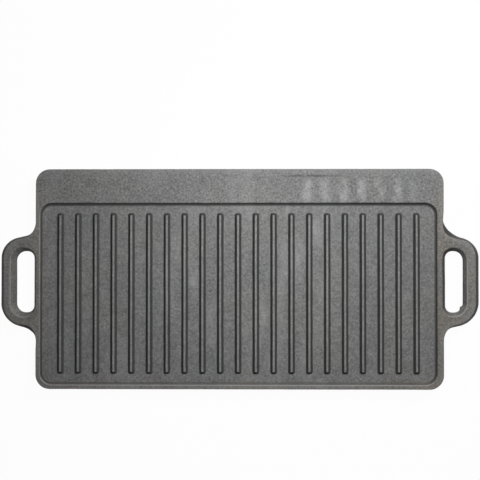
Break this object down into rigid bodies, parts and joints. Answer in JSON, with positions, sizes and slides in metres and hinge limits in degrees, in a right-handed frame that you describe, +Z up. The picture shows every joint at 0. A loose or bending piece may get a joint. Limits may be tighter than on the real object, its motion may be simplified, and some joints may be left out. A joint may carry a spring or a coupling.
{
  "type": "reversible griddle plate",
  "caption": "Rectangular reversible cast iron griddle plate with a ribbed basin, a wide flat land along one side, a smooth tray below and a loop handle at each end.",
  "frame": {"origin": "under the middle of the plate, on the surface that the foot of its rim rests on", "axes": "+X along the length towards the right handle, +Y towards the wide land, +Z up out of the ribbed side"},
  "size_m": [0.4998, 0.2296, 0.014],
  "materials": {
    "cast_iron": "seasoned, fine sand-cast grain",
    "rib_iron": "seasoned, fine sand-cast grain, a little lighter on top"
  },
  "bodies": {
    "root": {"floor_plate": "cast_iron", "land_step": "cast_iron", "grease_land": "cast_iron", "front_rim": "cast_iron", "back_rim": "cast_iron", "left_handle": "cast_iron", "right_handle": "cast_iron", "rib_01": "rib_iron", "rib_02": "rib_iron", "rib_03": "rib_iron", "rib_04": "rib_iron", "rib_05": "rib_iron", "rib_06": "rib_iron", "rib_07": "rib_iron", "rib_08": "rib_iron", "rib_09": "rib_iron", "rib_10": "rib_iron", "rib_11": "rib_iron", "rib_12": "rib_iron", "rib_13": "rib_iron", "rib_14": "rib_iron", "rib_15": "rib_iron", "rib_16": "rib_iron", "rib_17": "rib_iron", "rib_18": "rib_iron", "rib_19": "rib_iron", "rib_20": "rib_iron", "rib_21": "rib_iron"}
  },
  "joints": []
}
